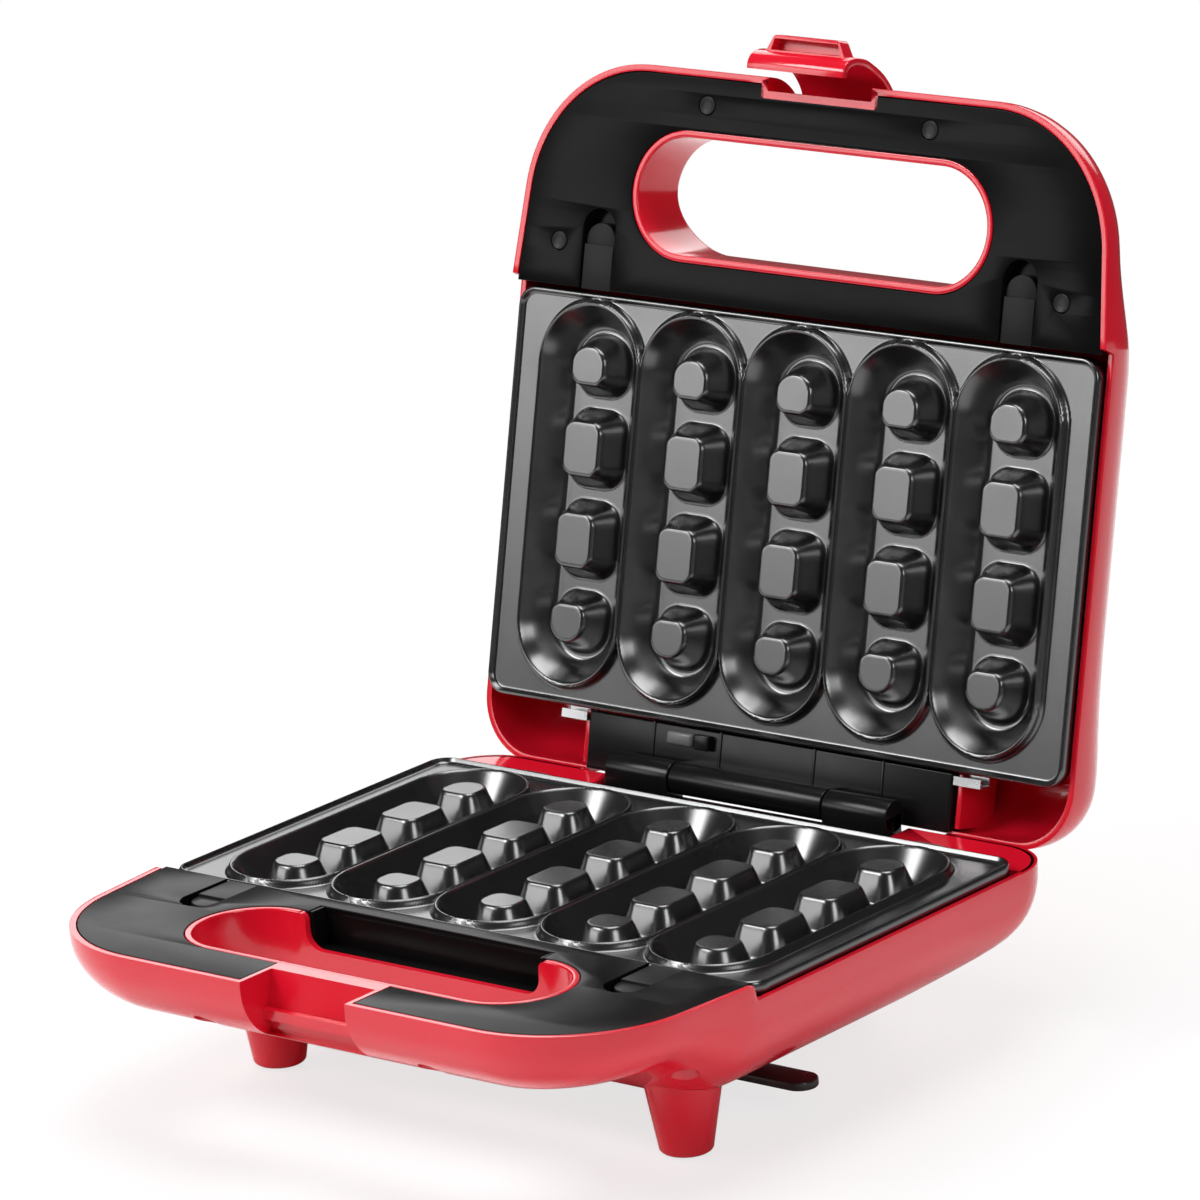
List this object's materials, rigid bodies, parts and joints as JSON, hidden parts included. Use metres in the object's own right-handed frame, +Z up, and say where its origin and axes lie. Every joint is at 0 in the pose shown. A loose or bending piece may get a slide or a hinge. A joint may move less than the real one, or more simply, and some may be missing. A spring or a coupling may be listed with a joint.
{
  "type": "stick waffle maker",
  "caption": "Red countertop stick waffle maker with a hinged lid, front latch, handle openings and coated plates with plate releases.",
  "frame": {"origin": "centre of the bounding box at floor level, with the lid open as in the picture", "axes": "+Z up, +Y towards the hinge, +X to the right as seen from the handle side"},
  "size_m": [0.2258, 0.2878, 0.286],
  "materials": {
    "red_gloss_plastic": "gloss",
    "black_trim_plastic": "satin",
    "black_nonstick_coating": "satin",
    "bright_steel": "satin",
    "element_sheath": "matte",
    "grey_plug": "matte",
    "black_rubber": "matte",
    "pale_moulding": "matte",
    "red_lens": "gloss",
    "green_lens": "gloss"
  },
  "bodies": {
    "base": {"lower_housing": "red_gloss_plastic", "lower_handle_trim": "black_trim_plastic", "lower_plate": "black_nonstick_coating", "lower_reflector": "bright_steel", "lower_heating_element": "element_sheath", "thermostat": "pale_moulding", "thermal_fuse": "bright_steel", "terminal_block": "pale_moulding", "supply_leads": "black_trim_plastic", "cord_inlet": "black_rubber", "cord_wrap": "black_trim_plastic", "hinge_bracket": "black_trim_plastic", "hinge_pin": "bright_steel", "cord_wrap_screw_left": "element_sheath", "cord_wrap_screw_right": "element_sheath", "foot_pad_front_left": "black_rubber", "foot_pad_front_right": "black_rubber", "foot_pad_back_left": "black_rubber", "foot_pad_back_right": "black_rubber", "lower_screw_front_left": "element_sheath", "lower_screw_front_right": "element_sheath", "lower_screw_back_left": "element_sheath", "lower_screw_back_right": "element_sheath", "lower_plate_catch_left": "bright_steel", "lower_plate_catch_right": "bright_steel", "lower_release_spring_left": "bright_steel", "lower_release_spring_right": "bright_steel"},
    "lid": {"upper_housing": "red_gloss_plastic", "upper_handle_trim": "black_trim_plastic", "upper_plate": "black_nonstick_coating", "upper_reflector": "bright_steel", "upper_heating_element": "element_sheath", "lid_hinge_housing": "black_trim_plastic", "latch_pin": "bright_steel", "power_lens": "red_lens", "ready_lens": "green_lens", "upper_screw_front_left": "element_sheath", "upper_screw_front_right": "element_sheath", "upper_screw_back_left": "element_sheath", "upper_screw_back_right": "element_sheath", "screw_plug_front_left": "grey_plug", "screw_plug_front_right": "grey_plug", "screw_plug_back_left": "grey_plug", "screw_plug_back_right": "grey_plug", "upper_plate_catch_left": "bright_steel", "upper_plate_catch_right": "bright_steel", "upper_release_spring_left": "bright_steel", "upper_release_spring_right": "bright_steel"},
    "latch": {"latch": "red_gloss_plastic"},
    "lower_release_left_body": {"lower_release_left": "black_trim_plastic"},
    "lower_release_right_body": {"lower_release_right": "black_trim_plastic"},
    "upper_release_left_body": {"upper_release_left": "black_trim_plastic"},
    "upper_release_right_body": {"upper_release_right": "black_trim_plastic"}
  },
  "joints": [
    {"name": "lid_hinge", "type": "hinge", "parent": "base", "child": "lid", "pos_m": [0, 0.0738, 0.0584], "axis": [1, 0, 0], "range_deg": [0, 103.08]},
    {"name": "latch_hinge", "type": "hinge", "parent": "lid", "child": "latch", "pos_m": [0, 0.13494, 0.2526], "axis": [1, 0, 0], "range_deg": [-40, 25]},
    {"name": "lower_release_left_slide", "type": "slide", "parent": "base", "child": "lower_release_left_body", "axis": [0, -1, 0], "range_m": [0, 0.0042], "stiffness_N_per_m": 600, "springref_m": -0.002, "deforming": ["lower_release_spring_left"]},
    {"name": "lower_release_right_slide", "type": "slide", "parent": "base", "child": "lower_release_right_body", "axis": [0, -1, 0], "range_m": [0, 0.0042], "stiffness_N_per_m": 600, "springref_m": -0.002, "deforming": ["lower_release_spring_right"]},
    {"name": "upper_release_left_slide", "type": "slide", "parent": "lid", "child": "upper_release_left_body", "axis": [0, 0.2263, 0.9741], "range_m": [0, 0.0042], "stiffness_N_per_m": 600, "springref_m": -0.002, "deforming": ["upper_release_spring_left"]},
    {"name": "upper_release_right_slide", "type": "slide", "parent": "lid", "child": "upper_release_right_body", "axis": [0, 0.2263, 0.9741], "range_m": [0, 0.0042], "stiffness_N_per_m": 600, "springref_m": -0.002, "deforming": ["upper_release_spring_right"]}
  ]
}
